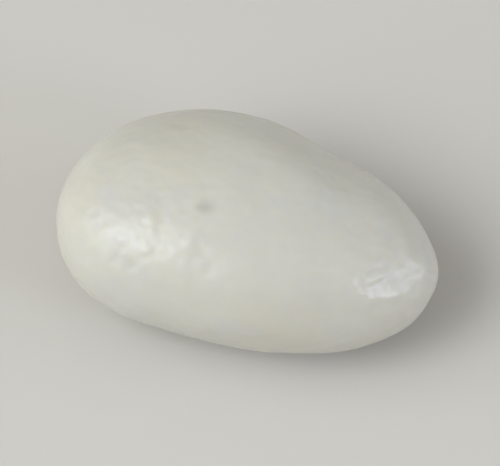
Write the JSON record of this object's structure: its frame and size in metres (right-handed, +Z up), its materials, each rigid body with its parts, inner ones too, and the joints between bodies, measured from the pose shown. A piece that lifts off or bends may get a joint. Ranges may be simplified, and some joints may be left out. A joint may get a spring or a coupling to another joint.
{
  "type": "yogurt covered almond",
  "caption": "Egg-shaped creamy white coated almond sweet, broad at one end and narrow at the other, lying on its flatter side.",
  "frame": {"origin": "on the surface that the sweet lies on, under the middle of its box", "axes": "+X along the sweet from its broad end to its narrow tip, +Z up as it lies on its flatter side"},
  "size_m": [0.0272, 0.0172, 0.0133],
  "materials": {
    "yogurt_coat": "satin, creamy white, a little translucent"
  },
  "bodies": {
    "root": {"yogurt_almond": "yogurt_coat"}
  },
  "joints": []
}
